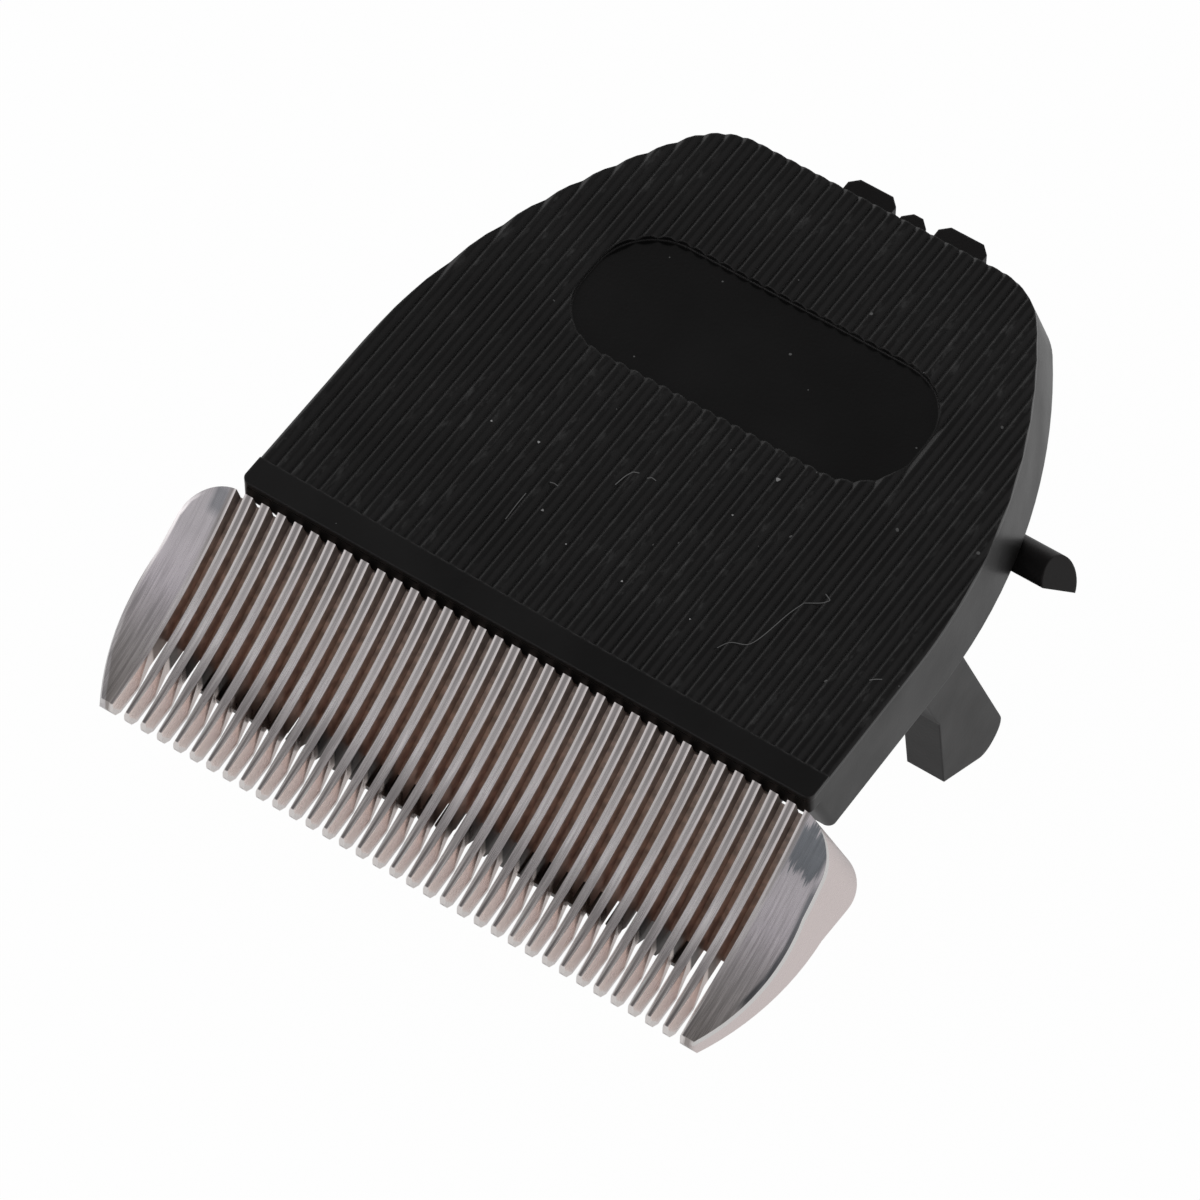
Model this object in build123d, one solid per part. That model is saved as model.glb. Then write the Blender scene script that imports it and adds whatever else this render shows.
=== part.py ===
"""Clip-on blade head of a hair clipper: ribbed cover, frame, steel comb and sliding cutter.

Sizes are in millimetres. While it is drawn, X runs across the teeth, Y runs from the cover's front
edge to its rear, and Z = 0 is the cover's top. The last step moves the whole head so that the middle
of its underside box is the origin.
"""
import os
from math import asin, cos, hypot, radians, sin, tan

from build123d import *

# Cover
cover_half_width = 19.35
cover_length = 36.9
side_straight = 11.0
side_radius = 43.0
rear_corner_radius = 4.5
front_corner_radius = 0.5
cover_wall = 1.4
cover_plate = 1.6
cover_depth = 6.0
wall_lean = 2.4
rib_pitch = 1.0
rib_rise = 0.26
rib_facets = 3
front_band = 1.9
badge_length = 22.9
badge_width = 9.35
badge_corner_radius = 3.9
badge_depth = 0.45
badge_y = 23.7
boss_side = 4.2
boss_floor = 0.4

# Comb, the fixed toothed blade
tooth_pitch = 1.153
slot_count = 34
slot_width = 0.6
throat_width = 0.12
throat_run = 2.1
throat_lead = 1.4
mouth_width = 0.34
mouth_run = 0.45
nose_gap = 0.84
vee_half_angle = 20.5
vee_rise = 11.0
vee_keel = 0.34
vee_overrun = 1.0
vee_height = 2.5
vee_length = 5.5
comb_half_width = 23.5
comb_waist = 22.95
comb_tip_half_width = 20.4
comb_corner_radius = 2.4
end_lean = 21.0
comb_rear = -0.45
comb_top_depth = 0.41
tip_reach = 12.9
tip_depth = 8.44
tip_thickness = 1.05
nose_run = 0.15
hollow = 0.97
cutting_angle = 15.0
slot_floor_depth = 0.75
slot_runout = 5.2
flange_depth = 2.0
flange_thickness = 1.4
flange_half_width = 17.0
flange_reach = 8.2

# Cutter, the moving toothed blade, and its carrier
cutter_pitch = 1.29
cutter_slot_count = 25
cutter_slot_width = 0.62
cutter_slot_length = 4.4
cutter_setback = 3.9
cutter_length = 9.2
cutter_thickness = 1.5
cutter_half_width = 16.6
peg_x = 5.6
peg_setback = 10.7
peg_side = 2.0
peg_gap = 0.1
peg_shortfall = 0.3
carrier_half_width = 8.0
carrier_setback = 7.5
carrier_rear = 10.5
carrier_depth = 9.0
fork_width = 4.4
fork_depth = 6.0

# Frame
frame_gap = 0.15
frame_plate = 2.6
pad_front = 0.2
window_half_width = 10.8
window_rear = 29.0
skirt_inset = 2.9
skirt_wall = 1.6
skirt_front = 12.2
skirt_depth = 11.0
ear_outer = 19.0
ear_depth = 21.3
ear_front = 12.5
ear_rear = 16.5
ear_knee_run = 2.1
ear_knee_drop = 5.0
ear_toe_run = 3.1
ear_toe_rise = 3.1
ear_lean = 4.0
ear_heel_run = 1.7
ear_heel_rise = 1.4
ear_corner_radius = 1.4
stub_y = 25.2
stub_drop = 2.2
stub_radius = 1.5
stub_end = 20.3
stub_flat = 0.45
stub_end_tilt = 28.0
lug_width = 3.4
lug_x = 3.2
nub_width = 1.75
lug_end = 42.0
nub_shortfall = 0.4
lug_height = 2.2
lug_chamfer = 0.55

# Springs and screws
spring_thickness = 0.4
spring_width = 4.0
spring_tab = 12.0
spring_fold = 1.8
spring_tip = 5.4
screw_radius = 0.9
screw_gap = 0.1
screw_head_radius = 1.8
screw_head_height = 1.1
comb_screw_x = 14.2
comb_screw_y = 5.8
rear_screw_x = 6.4
rear_screw_y = 33.2

frame_top = -(cover_depth - frame_plate)
frame_foot = -cover_depth
cutting_plane = Plane(
    origin=(0, -tip_reach, -tip_depth),
    x_dir=(1, 0, 0),
    z_dir=(0, -sin(radians(cutting_angle)), cos(radians(cutting_angle))),
)


def plan(inset):
    """Cover outline seen from above, drawn inset from its outer wall."""
    turn = asin((cover_length - side_straight) / side_radius)
    rear_half = cover_half_width - side_radius * (1 - cos(turn))
    half_turn = turn / 2
    middle = (
        cover_half_width - side_radius * (1 - cos(half_turn)),
        side_straight + side_radius * sin(half_turn),
    )
    corners = [(cover_half_width, 0), (cover_half_width, side_straight)]
    rear = (rear_half, cover_length)
    right = [
        Line(corners[0], corners[1]),
        ThreePointArc(corners[1], middle, rear),
    ]
    left = [mirror(edge, about=Plane.YZ) for edge in right]
    ends = [
        Line((-cover_half_width, 0), (cover_half_width, 0)),
        Line((-rear_half, cover_length), rear),
    ]
    face = make_face(right + left + ends)
    rear_corners = face.vertices().sort_by(Axis.Y)[-2:]
    face = fillet(rear_corners, rear_corner_radius)
    if inset > 0:
        return offset(face, -inset, kind=Kind.INTERSECTION)
    return fillet(face.vertices().sort_by(Axis.Y)[:2], front_corner_radius)


def slab(face, top, foot):
    """Upright solid of a plan face between two heights."""
    return extrude(Pos(0, 0, foot) * face, top - foot, dir=(0, 0, 1))


def leaning(face, top, foot):
    """Solid of a plan face between two heights that leans rearward as the cover's walls do."""
    lean = wall_lean / cover_depth
    start = Pos(0, -lean * top, top) * face
    return extrude(start, (top - foot) * hypot(1, lean), dir=(0, lean, -1))


def block(x0, x1, y0, y1, z0, z1):
    """Box between two corners."""
    centre = Pos((x0 + x1) / 2, (y0 + y1) / 2, (z0 + z1) / 2)
    return centre * Box(x1 - x0, y1 - y0, z1 - z0)


def side_prism(points, x0, x1):
    """Solid of a side outline, given as (y, z) corners, between two X positions."""
    face = make_face(Polyline([(x0, y, z) for y, z in points], close=True))
    return extrude(face, x1 - x0, dir=(1, 0, 0))


def both_sides(solid):
    """A right-hand solid and its mirror image."""
    return [solid, mirror(solid, about=Plane.YZ)]


def upright(x, y, z0, z1, radius):
    """Upright cylinder between two heights."""
    return Pos(x, y, (z0 + z1) / 2) * Cylinder(radius, z1 - z0)


def screw(x, y, seat, tip):
    """Hexagon-head screw whose head sits under a seat and whose shank points up."""
    head = slab(Pos(x, y) * RegularPolygon(screw_head_radius, 6), seat, seat - screw_head_height)
    return head + upright(x, y, seat, tip, screw_radius)


cover_screw_spots = [(-rear_screw_x, rear_screw_y), (rear_screw_x, rear_screw_y)]
comb_screw_spots = [(-comb_screw_x, comb_screw_y), (comb_screw_x, comb_screw_y)]


def make_cover():
    """Ribbed black cap with leaning side walls, an open front and a bare oval recess."""
    body = leaning(plan(0), 0, -cover_depth)
    front = block(-cover_half_width, cover_half_width, 0, cover_wall, -cover_plate, 0)
    body += slab(plan(0), 0, -cover_plate) & front
    body -= leaning(plan(cover_wall), -cover_plate, -cover_depth)
    inner = cover_half_width - cover_wall
    mouth = Pos(0, cover_wall / 2) * Rectangle(2 * inner, 3 * cover_wall)
    body -= leaning(mouth, -cover_plate, -cover_depth)

    rib_count = 2 * int(cover_half_width / rib_pitch) + 3
    first = -rib_count * rib_pitch / 2
    steps = [i / rib_facets for i in range(rib_count * rib_facets + 1)]
    ridges = [(first + t * rib_pitch, front_band, -rib_rise * (2 * (t % 1) - 1) ** 2) for t in steps]
    over = [(-first, front_band, 1), (first, front_band, 1)]
    ribs = make_face(Polyline(ridges + over, close=True))
    body -= extrude(ribs, cover_length, dir=(0, 1, 0))
    badge = Pos(0, badge_y) * RectangleRounded(badge_length, badge_width, badge_corner_radius)
    body -= slab(badge, 1, -badge_depth)

    for x, y in cover_screw_spots:
        body += block(
            x - boss_side / 2, x + boss_side / 2, y - boss_side / 2, y + boss_side / 2,
            frame_top, -cover_plate,
        )
        body -= upright(x, y, frame_top, -cover_plate + boss_floor, screw_radius + screw_gap)
    return body


def make_vee():
    """V groove that thins the teeth towards their tips, on the cutting plane."""
    rise = radians(vee_rise)
    start = -vee_overrun
    keel = -vee_keel + start * tan(rise)
    half = (vee_height - keel) * tan(radians(vee_half_angle))
    corners = [(0, start, keel), (half, start, vee_height), (-half, start, vee_height)]
    face = make_face(Polyline(corners, close=True))
    return extrude(face, (vee_length + vee_overrun) / cos(rise), dir=(0, cos(rise), sin(rise)))


def comb_plan(length, narrowing):
    """Comb outline on the cutting plane, with its two ends drawn in by the narrowing."""
    rear = (comb_half_width - narrowing, length)
    waist = (comb_waist - narrowing, length * 0.65)
    bulge = (comb_waist * 0.69 + comb_tip_half_width * 0.31 - narrowing, length * 0.27)
    tip = (comb_tip_half_width - narrowing, 0)
    right = [Line(rear, waist), ThreePointArc(waist, bulge, tip)]
    left = [mirror(edge, about=Plane.YZ) for edge in right]
    ends = [Line((-rear[0], length), rear), Line((-tip[0], 0), tip)]
    face = make_face(right + left + ends)
    return fillet(face.vertices().sort_by(Axis.Y)[-2:], comb_corner_radius)


def make_comb():
    """Fixed steel blade: hollow-ground top, flat cutting underside and fine slots."""
    tip_y = -tip_reach
    top_rear = (comb_rear, -comb_top_depth)
    top_tip = (tip_y + nose_run, -tip_depth + tip_thickness)
    foot_tip = cutting_plane.from_local_coords((0, nose_run, 0))
    chord_y = (top_rear[0] + top_tip[0]) / 2
    chord_z = (top_rear[1] + top_tip[1]) / 2
    slope = tan(radians(cutting_angle))
    drop = -comb_top_depth + tip_depth - slope * (comb_rear + tip_reach)
    run = drop * sin(radians(cutting_angle)) * cos(radians(cutting_angle))
    foot_rear = (comb_rear + run, -tip_depth + slope * (comb_rear + run + tip_reach))
    x0 = -comb_half_width
    outline = [
        ThreePointArc((x0, *top_rear), (x0, chord_y, chord_z - hollow), (x0, *top_tip)),
        Polyline(
            (x0, *top_tip),
            (x0, tip_y, -tip_depth + tip_thickness * 0.45),
            (x0, foot_tip.Y, foot_tip.Z),
        ),
        Line((x0, foot_tip.Y, foot_tip.Z), (x0, *foot_rear)),
        Line((x0, *foot_rear), (x0, *top_rear)),
    ]
    edges = [edge for line in outline for edge in line.edges()]
    blade = extrude(make_face(edges), 2 * comb_half_width, dir=(1, 0, 0))

    length = cutting_plane.to_local_coords(Vector(0, *top_rear)).Y
    height = tip_reach / 2
    foot_plan = comb_plan(length, 0)
    head_plan = comb_plan(length, height * tan(radians(end_lean)))
    blade &= cutting_plane * loft([foot_plan, Pos(0, 0, height) * head_plan], ruled=True)

    throat_y = tip_y + throat_run
    side = [
        (slot_width / 2, 2),
        (slot_width / 2, throat_y + throat_lead),
        (throat_width / 2, throat_y),
        (mouth_width / 2, tip_y + mouth_run),
        (nose_gap / 2, tip_y),
        (nose_gap / 2, tip_y - 1),
    ]
    slot_plan = make_face(Polyline(side + [(-x, y) for x, y in reversed(side)], close=True))
    floor_y = tip_y + slot_runout
    floor_z = -tip_depth + slope * slot_runout
    floor_rear = -comb_top_depth - slot_floor_depth
    slot_side = [
        (comb_rear + 1, 1), (comb_rear + 1, floor_rear), (floor_y, floor_z),
        (floor_y, -tip_depth - 1), (tip_y - 1, -tip_depth - 1), (tip_y - 1, 1),
    ]
    slot = slab(slot_plan, 1, -tip_depth - 1) & side_prism(slot_side, -1, 1)
    slot += cutting_plane * make_vee()
    middle = (slot_count - 1) / 2
    blade -= [Pos((i - middle) * tooth_pitch, 0, 0) * slot for i in range(slot_count)]

    flange_foot = -flange_depth - flange_thickness
    flange = block(
        -flange_half_width, flange_half_width, comb_rear, flange_reach,
        flange_foot, -flange_depth,
    )
    blade += flange
    for x, y in comb_screw_spots:
        blade -= upright(x, y, flange_foot, -flange_depth, screw_radius + screw_gap)
    return blade


def make_cutter():
    """Moving steel blade lying under the comb's cutting face."""
    rear = cutter_setback + cutter_length
    plate = block(-cutter_half_width, cutter_half_width, cutter_setback, rear, -cutter_thickness, 0)
    front_edges = plate.edges().filter_by(Axis.X).group_by(Axis.Y)[0].sort_by(Axis.Z)[:1]
    plate = chamfer(front_edges, cutter_thickness * 0.5)
    slot = block(
        -cutter_slot_width / 2, cutter_slot_width / 2,
        cutter_setback - 1, cutter_setback + cutter_slot_length,
        -cutter_thickness - 1, 1,
    )
    middle = (cutter_slot_count - 1) / 2
    hole = peg_side + 2 * peg_gap
    plate -= [Pos((i - middle) * cutter_pitch, 0, 0) * slot for i in range(cutter_slot_count)]
    for x in (-peg_x, peg_x):
        plate -= Pos(x, peg_setback) * Box(hole, hole, 4 * cutter_thickness)
    return cutting_plane * plate


def make_carrier():
    """Plastic drive yoke under the cutter, with a fork for the clipper's drive pin."""
    front = cutting_plane.from_local_coords((0, carrier_setback, -cutter_thickness))
    rear = cutting_plane.from_local_coords((0, cutter_setback + cutter_length, -cutter_thickness))
    outline = [
        (front.Y, front.Z), (rear.Y, rear.Z), (carrier_rear, rear.Z),
        (carrier_rear, -carrier_depth), (front.Y, -carrier_depth),
    ]
    body = side_prism(outline, -carrier_half_width, carrier_half_width)
    fork = carrier_rear - fork_depth
    body -= block(-fork_width / 2, fork_width / 2, fork, carrier_rear + 1, -carrier_depth - 1, 0)
    peg_half = peg_side / 2
    for x in (-peg_x, peg_x):
        body += cutting_plane * block(
            x - peg_half, x + peg_half, peg_setback - peg_half, peg_setback + peg_half,
            -cutter_thickness - peg_shortfall, -peg_shortfall,
        )
    return body


def make_ear():
    """Right-hand ear: a flat arm beside the skirt that hangs down and leans rearward."""
    outline = [
        (ear_front, frame_foot),
        (ear_front + ear_knee_run, frame_foot - ear_knee_drop),
        (ear_front + ear_toe_run, -ear_depth + ear_toe_rise),
        (ear_rear + ear_lean, -ear_depth),
        (ear_rear + ear_lean + ear_heel_run, -ear_depth + ear_heel_rise),
        (ear_rear, frame_foot),
    ]
    ear = side_prism(outline, cover_half_width - skirt_inset, ear_outer)
    low_edges = ear.edges().filter_by(Axis.X).sort_by(Axis.Z)[:2]
    return fillet(low_edges, ear_corner_radius)


def make_stub():
    """Right-hand stub: a round bar from the middle of the frame with a flat and a slanted end."""
    centre = Pos(stub_end, stub_y, frame_foot - stub_drop)
    length = 2 * stub_end
    stub = centre * Rot(0, 90, 0) * Cylinder(stub_radius, length)
    flat = Rot(-45, 0, 0) * Pos(0, 0, -stub_flat - stub_radius)
    stub -= centre * flat * Box(length, 4 * stub_radius, 2 * stub_radius)
    beyond = Rot(0, -stub_end_tilt, 0) * Pos(length / 2, 0, 0)
    return stub - centre * beyond * Box(length, 4 * stub_radius, 4 * stub_end)


def make_lugs():
    """Two catch lugs and the short nub between them, at the rear of the skirt."""
    root = cover_length + wall_lean - skirt_inset - skirt_wall
    nub_end = lug_end - nub_shortfall
    lugs = []
    spots = [(-lug_x, lug_width, lug_end), (0, nub_width, nub_end), (lug_x, lug_width, lug_end)]
    for x, width, end in spots:
        lug = block(x - width / 2, x + width / 2, root, end, frame_foot - lug_height, frame_foot)
        outer_edges = lug.edges().filter_by(Axis.Z).sort_by(Axis.Y)[-2:]
        lugs.append(chamfer(outer_edges, lug_chamfer))
    return lugs


def make_frame():
    """Moulded frame inside the cover: comb pads, socket skirt, side ears, stubs and rear lugs."""
    inset = cover_wall + frame_gap
    pads = Pos(0, pad_front + inset) * Rectangle(2 * (cover_half_width - inset), 2 * inset)
    rim = leaning(plan(inset) + pads, frame_top, frame_foot)
    rim -= block(-window_half_width, window_half_width, -1, window_rear, frame_foot, frame_top)
    skirt = leaning(plan(skirt_inset), frame_foot, -skirt_depth)
    skirt -= block(-cover_half_width, cover_half_width, -1, skirt_front, -skirt_depth, frame_foot)
    skirt += both_sides(make_ear()) + both_sides(make_stub()) + make_lugs()
    skirt -= leaning(plan(skirt_inset + skirt_wall), frame_foot, -skirt_depth)
    body = rim + skirt
    for x, y in cover_screw_spots + comb_screw_spots:
        body -= upright(x, y, frame_foot, frame_top, screw_radius + screw_gap)
    return body


def make_spring():
    """Right-hand leaf spring that presses the carrier up against the comb."""
    outer = comb_screw_x + screw_head_radius
    tab_top = frame_foot
    tip_top = -carrier_depth
    fold = spring_tab - spring_fold
    y0 = comb_screw_y - spring_width / 2
    step = spring_thickness / 2
    outline = [
        (outer, tab_top), (spring_tab, tab_top), (fold, tip_top), (spring_tip, tip_top),
        (spring_tip, tip_top - spring_thickness), (fold + step, tip_top - spring_thickness),
        (spring_tab + step, tab_top - spring_thickness), (outer, tab_top - spring_thickness),
    ]
    face = make_face(Polyline([(x, y0, z) for x, z in outline], close=True))
    leaf = extrude(face, spring_width, dir=(0, 1, 0))
    hole = upright(comb_screw_x, comb_screw_y, tab_top - 1, tab_top + 1, screw_radius + screw_gap)
    return leaf - hole


spring_right = make_spring()
comb_seat = frame_foot - spring_thickness
nodes = {
    "top_cover": make_cover(),
    "base_frame": make_frame(),
    "comb_blade": make_comb(),
    "cutter_blade": make_cutter(),
    "cutter_carrier": make_carrier(),
    "pressure_spring_right": spring_right,
    "pressure_spring_left": mirror(spring_right, about=Plane.YZ),
    "comb_screws": Compound([screw(x, y, comb_seat, -flange_depth) for x, y in comb_screw_spots]),
    "cover_screws": Compound(
        [screw(x, y, frame_foot, -cover_plate) for x, y in cover_screw_spots]
    ),
}

box = Compound(list(nodes.values())).bounding_box()
home = Pos(0, -box.center().Y, -box.min.Z)
os.makedirs("parts", exist_ok=True)
for name, solid in nodes.items():
    export_step(home * solid, f"parts/{name}.step")
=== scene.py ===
"""Looks, light and camera for the clip-on blade head of a hair clipper."""
import logging
import math
from dataclasses import dataclass, field
from enum import Enum
from typing import Optional, Union

import bpy
import numpy as np
from mathutils import Matrix


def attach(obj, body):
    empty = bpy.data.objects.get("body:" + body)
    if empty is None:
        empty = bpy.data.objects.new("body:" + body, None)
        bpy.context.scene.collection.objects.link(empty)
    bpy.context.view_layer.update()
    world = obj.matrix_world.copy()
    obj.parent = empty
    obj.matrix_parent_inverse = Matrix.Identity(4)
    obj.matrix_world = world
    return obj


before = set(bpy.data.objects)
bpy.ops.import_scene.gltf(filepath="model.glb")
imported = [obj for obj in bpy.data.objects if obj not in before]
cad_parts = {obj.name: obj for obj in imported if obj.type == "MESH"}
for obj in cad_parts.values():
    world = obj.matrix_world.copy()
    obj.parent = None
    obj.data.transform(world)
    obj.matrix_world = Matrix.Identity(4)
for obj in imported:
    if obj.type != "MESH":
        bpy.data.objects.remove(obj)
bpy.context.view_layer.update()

log = logging.getLogger("blade_head")

Colour = tuple[float, float, float, float]
Stops = tuple[tuple[float, Colour], ...]
Point = tuple[float, float, float]
Path = tuple[tuple[float, float], ...]
Shape = tuple[np.ndarray, np.ndarray]
Socket = bpy.types.NodeSocket
Sockets = bpy.types.bpy_prop_collection
Value = Union[Socket, float]
Paint = Union[Socket, Colour]

# A range is a pair of values, and a mask goes from 0 at the first to 1 at the second. A band is 1
# between its first two values, and the third is the width of its soft edges.
Range = tuple[float, float]
Band = tuple[float, float, float]

MM_PER_M = 1000.0
DRAWING_TO_FRAME_MM: Point = (0.0, -14.55, 20.975)


class Body(Enum):
    """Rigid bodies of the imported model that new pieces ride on."""

    HEAD = "head"


class Grind(Enum):
    """How far the marks of grinding or wiping are drawn out along each axis."""

    ALONG_TEETH = (9.0, 0.35, 0.35)
    ACROSS_TEETH = (0.35, 9.0, 9.0)
    WIPED = (1.0, 0.35, 0.35)


def tint(red: float, green: float, blue: float) -> Colour:
    """Opaque colour of three linear levels."""
    return (red, green, blue, 1.0)


def grey(level: float) -> Colour:
    """Opaque neutral colour of one linear level."""
    return tint(level, level, level)


class Tree:
    """Short calls for adding and joining the nodes of one shader tree."""

    # Places of a mix node's colour sockets, because its other types share their names.
    mix_first, mix_second, mix_result = 6, 7, 2

    def __init__(self, tree: bpy.types.NodeTree) -> None:
        """Keep the tree that the calls work on."""
        self.tree = tree

    def add(self, kind: str, **values: object) -> bpy.types.Node:
        """Add a node and set its properties.

        Args:
            kind: Blender's name of the node type.
            values: Node properties by name.

        Returns:
            The new node.
        """
        node = self.tree.nodes.new(kind)
        for name, value in values.items():
            setattr(node, name, value)
        return node

    def join(self, start: Socket, end: Socket) -> None:
        """Link an output socket to an input socket."""
        self.tree.links.new(start, end)

    def feed(self, item: Union[Value, Paint], end: Socket) -> None:
        """Link a socket to an input, or set the input to a number or colour.

        Args:
            item: Socket, number or colour.
            end: The input.
        """
        if isinstance(item, Socket):
            self.join(item, end)
        else:
            end.default_value = item

    def math(self, operation: str, first: Value, second: Optional[Value] = None) -> Socket:
        """Add a math node fed by sockets or numbers.

        Args:
            operation: Name of the operation.
            first: First socket or number.
            second: Second socket or number, where there is one.

        Returns:
            The value that comes out.
        """
        node = self.add("ShaderNodeMath", operation=operation)
        self.feed(first, node.inputs[0])
        if second is not None:
            self.feed(second, node.inputs[1])
        return node.outputs[0]

    def times(self, *values: Value) -> Socket:
        """Multiply masks into one.

        Args:
            values: Sockets or numbers, the first of them a socket.

        Returns:
            The product.
        """
        made = values[0]
        for value in values[1:]:
            made = self.math("MULTIPLY", made, value)
        return made

    def inverse(self, mask: Socket) -> Socket:
        """Mask that is 1 where the given one is 0."""
        return self.math("SUBTRACT", 1.0, mask)

    def between(self, share: Socket, low: float, high: float) -> Socket:
        """Value that goes from low to high as a share goes from 0 to 1."""
        return self.math("ADD", self.times(share, high - low), low)

    def ramp(self, value: Socket, low: float, high: float) -> Socket:
        """Stretch a value, clamped at both ends.

        Args:
            value: The value to stretch.
            low: Value that becomes 0.
            high: Value that becomes 1.

        Returns:
            The stretched value, from 0 to 1.
        """
        node = self.add("ShaderNodeMapRange", clamp=True)
        node.inputs["From Min"].default_value = low
        node.inputs["From Max"].default_value = high
        self.join(value, node.inputs["Value"])
        return node.outputs["Result"]

    def band(self, value: Socket, low: float, high: float, soft: float) -> Socket:
        """Mask that is 1 between two values, with soft edges outside them."""
        rising = self.ramp(value, low - soft, low)
        return self.times(rising, self.ramp(value, high + soft, high))

    def mix(self, mask: Value, first: Paint, second: Paint, blend: str = "MIX") -> Socket:
        """Blend two colours, given as sockets or values, by a mask.

        Args:
            mask: Share of the blend.
            first: Colour where the mask is 0.
            second: Colour that is blended in.
            blend: Name of the blend.

        Returns:
            The mixed colour.
        """
        node = self.add("ShaderNodeMix", data_type="RGBA", blend_type=blend)
        self.feed(mask, node.inputs["Factor"])
        self.feed(first, node.inputs[self.mix_first])
        self.feed(second, node.inputs[self.mix_second])
        return node.outputs[self.mix_result]

    def colours(self, value: Socket, stops: Stops, low: float, high: float) -> Socket:
        """Run through a row of colours as a value goes from low to high.

        Args:
            value: The value that picks the colour.
            stops: Pairs of a value and its colour, in rising order.
            low: Value at the start of the row.
            high: Value at its end.

        Returns:
            The colour.
        """
        node = self.add("ShaderNodeValToRGB")
        elements = node.color_ramp.elements
        ready = len(elements)
        for place, (at, colour) in enumerate(stops):
            spot = (at - low) / (high - low)
            element = elements[place] if place < ready else elements.new(spot)
            element.position = spot
            element.color = colour
        self.join(self.ramp(value, low, high), node.inputs["Fac"])
        return node.outputs["Color"]

    def noise(self, place: Socket, scale: Value, detail: float, roughness: float = 0.5) -> Socket:
        """Add a noise texture.

        Args:
            place: Coordinates at which it is read.
            scale: Cells per unit of the coordinates.
            detail: Number of finer layers.
            roughness: Share of each finer layer.

        Returns:
            The noise, from 0 to 1.
        """
        node = self.add("ShaderNodeTexNoise")
        node.inputs["Detail"].default_value = detail
        node.inputs["Roughness"].default_value = roughness
        self.join(place, node.inputs["Vector"])
        self.feed(scale, node.inputs["Scale"])
        return node.outputs["Fac"]

    def object_place(self) -> Socket:
        """The object's own coordinates."""
        return self.add("ShaderNodeTexCoord").outputs["Object"]

    def split(self, vector: Socket) -> Sockets:
        """Take a vector apart.

        Args:
            vector: The vector.

        Returns:
            Its X, Y and Z.
        """
        node = self.add("ShaderNodeSeparateXYZ")
        self.join(vector, node.inputs[0])
        return node.outputs

    def bump(self, height: Socket, strength: float, depth: float) -> bpy.types.Node:
        """Add a bump node.

        Args:
            height: Height that changes over the surface.
            strength: Share of the full bump.
            depth: Depth of the full bump in metres.

        Returns:
            The bump node.
        """
        node = self.add("ShaderNodeBump")
        node.inputs["Strength"].default_value = strength
        node.inputs["Distance"].default_value = depth
        self.join(height, node.inputs["Height"])
        return node


class EffectGroup:
    """A shader node group with named inputs and outputs, built once."""

    name = "effect"
    inputs: dict[str, tuple[str, object]] = {}
    outputs: dict[str, str] = {}

    def __init__(self) -> None:
        """Make the group's sockets and its inside."""
        self.group = bpy.data.node_groups.new(self.name, "ShaderNodeTree")
        for label, (kind, value) in self.inputs.items():
            socket = self.group.interface.new_socket(label, in_out="INPUT", socket_type=kind)
            socket.default_value = value
        for label, kind in self.outputs.items():
            self.group.interface.new_socket(label, in_out="OUTPUT", socket_type=kind)
        tree = Tree(self.group)
        self.source = tree.add("NodeGroupInput").outputs
        self.sink = tree.add("NodeGroupOutput").inputs
        self.fill(tree)

    def fill(self, tree: Tree) -> None:
        """Build the nodes inside the group."""
        raise NotImplementedError

    def place(self, tree: Tree, **values: object) -> bpy.types.Node:
        """Place the group in a material.

        Args:
            tree: The material's tree.
            values: Input values by socket name.

        Returns:
            The group node.
        """
        node = tree.add("ShaderNodeGroup", node_tree=self.group)
        for label, value in values.items():
            node.inputs[label].default_value = value
        return node


class MouldGrain(EffectGroup):
    """Fine spark-eroded grain of moulded plastic, from noise at two sizes."""

    name = "mould_grain"
    inputs = {"Size": ("NodeSocketFloat", 0.0003)}
    outputs = {"Height": "NodeSocketFloat", "Cloud": "NodeSocketFloat"}
    grain_detail = 3.0
    cloud_scale = 160.0
    cloud_detail = 4.0

    def fill(self, tree: Tree) -> None:
        """Fine noise gives the height, and a slow cloud the uneven sheen.

        Args:
            tree: The group's tree.
        """
        place = tree.object_place()
        scale = tree.math("DIVIDE", 1.0, self.source["Size"])
        tree.join(tree.noise(place, scale, self.grain_detail), self.sink["Height"])
        tree.join(tree.noise(place, self.cloud_scale, self.cloud_detail), self.sink["Cloud"])


class DustSpecks(EffectGroup):
    """Pale dust: small round specks at random cells, on faces that look up."""

    name = "dust_specks"
    inputs = {
        "Cell": ("NodeSocketFloat", 0.0012),
        "Share": ("NodeSocketFloat", 0.1),
        "Size": ("NodeSocketFloat", 0.1),
    }
    outputs = {"Mask": "NodeSocketFloat"}
    upward: Range = (0.4, 0.8)

    def fill(self, tree: Tree) -> None:
        """A cell holds a speck when its random number is under the share.

        Args:
            tree: The group's tree.
        """
        cells = tree.add("ShaderNodeTexVoronoi", feature="F1")
        tree.join(tree.object_place(), cells.inputs["Vector"])
        tree.join(tree.math("DIVIDE", 1.0, self.source["Cell"]), cells.inputs["Scale"])
        pick = tree.add("ShaderNodeSeparateColor")
        tree.join(cells.outputs["Color"], pick.inputs[0])
        chosen = tree.math("LESS_THAN", pick.outputs[0], self.source["Share"])
        reach = tree.times(pick.outputs[1], self.source["Size"])
        inside = tree.math("LESS_THAN", cells.outputs["Distance"], reach)
        facing = tree.split(tree.add("ShaderNodeNewGeometry").outputs["Normal"])
        upward = tree.ramp(facing["Z"], *self.upward)
        tree.join(tree.times(chosen, inside, upward), self.sink["Mask"])


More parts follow.
